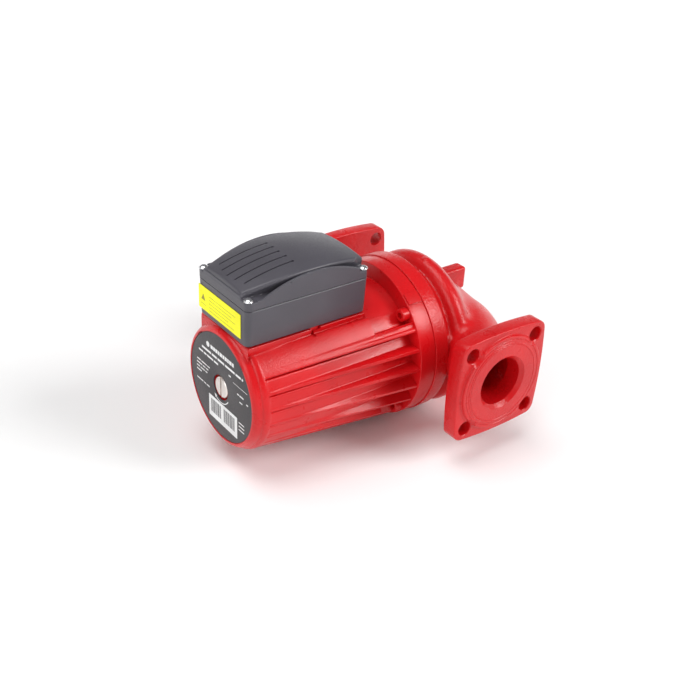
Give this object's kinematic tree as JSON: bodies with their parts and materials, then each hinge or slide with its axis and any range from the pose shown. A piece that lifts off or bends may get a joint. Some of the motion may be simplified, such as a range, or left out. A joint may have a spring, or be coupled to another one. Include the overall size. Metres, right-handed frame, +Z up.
{
  "type": "circulator pump",
  "caption": "In-line heating circulator pump with a ribbed wet-rotor motor, a terminal box on top and square flanges at both pipe ends.",
  "frame": {"origin": "where the motor axis crosses the pipe axis, halfway between the two sealing faces", "axes": "+X along the motor axis from the nameplate to the pump, +Y along the pipe from suction to discharge, +Z up through the terminal box"},
  "size_m": [0.3183, 0.28, 0.214],
  "materials": {
    "red_casing": "red gloss enamel over rough casting",
    "red_housing": "red gloss enamel",
    "red_bolt": "red gloss enamel",
    "dark_plastic": "fine grained, satin",
    "plate_print": "printed, satin",
    "label_yellow": "printed film",
    "steel": "zinc plated",
    "nickel": "nickel plated brass",
    "brass": "machined",
    "rubber": "matt",
    "lamination": "stacked sheets",
    "copper": "enamelled wire",
    "carbon": "ground",
    "ceramic": "ground",
    "grey_plastic": "moulded",
    "stainless": "drawn"
  },
  "bodies": {
    "pump": {"pump_casing": "red_casing", "motor_housing": "red_housing", "nameplate": "plate_print", "vent_boss": "brass", "terminal_box_base": "dark_plastic", "box_seal": "rubber", "warning_label": "label_yellow", "gland_body": "grey_plastic", "gland_nut": "grey_plastic", "gland_seal": "rubber", "gland_lock_nut": "grey_plastic", "blanking_plug": "grey_plastic", "terminal_block": "grey_plastic", "capacitor": "grey_plastic", "capacitor_clip": "stainless", "stator_core": "lamination", "winding_head_rear": "copper", "winding_head_front": "copper", "rotor_can": "stainless", "can_o_ring": "rubber", "casing_o_ring": "rubber", "bearing_plate": "stainless", "rear_bearing": "carbon", "front_bearing": "carbon", "wear_ring": "brass", "earth_screw": "brass", "box_screw_1": "steel", "casing_bolt_1": "red_bolt", "box_screw_2": "steel", "casing_bolt_2": "red_bolt", "box_screw_3": "steel", "casing_bolt_3": "red_bolt", "box_screw_4": "steel", "casing_bolt_4": "red_bolt", "terminal_screw_1": "brass", "terminal_screw_2": "brass", "terminal_screw_3": "brass", "terminal_screw_4": "brass", "terminal_screw_5": "brass", "terminal_screw_6": "brass"},
    "rotor": {"shaft": "stainless", "rotor_core": "stainless", "thrust_ring": "ceramic", "impeller": "brass", "impeller_nut": "brass"},
    "box_cover": {"terminal_box_cover": "dark_plastic", "cover_gasket": "rubber", "cover_screw_1": "steel", "cover_screw_2": "steel", "cover_screw_3": "steel", "cover_screw_4": "steel"},
    "vent_seal": {"vent_plug_seal": "rubber"},
    "vent_plug": {"vent_plug": "nickel"}
  },
  "joints": [
    {"name": "rotor_spin", "type": "hinge", "parent": "pump", "child": "rotor", "pos_m": [-0.1, 0, 0], "axis": [1, 0, 0], "continuous": true},
    {"name": "cover_lift", "type": "slide", "parent": "pump", "child": "box_cover", "axis": [0, 0, 1], "range_m": [0, 0.06]},
    {"name": "vent_slide", "type": "slide", "parent": "pump", "child": "vent_seal", "axis": [-1, 0, 0], "range_m": [0, 0.0045]},
    {"name": "vent_turn", "type": "hinge", "parent": "vent_seal", "child": "vent_plug", "pos_m": [-0.234, 0, 0], "axis": [-1, 0, 0], "range_deg": [0, 1080]}
  ],
  "couplings": [
    {"joint": "vent_turn", "follows": "vent_slide", "rad_per_m": 4188.8}
  ]
}
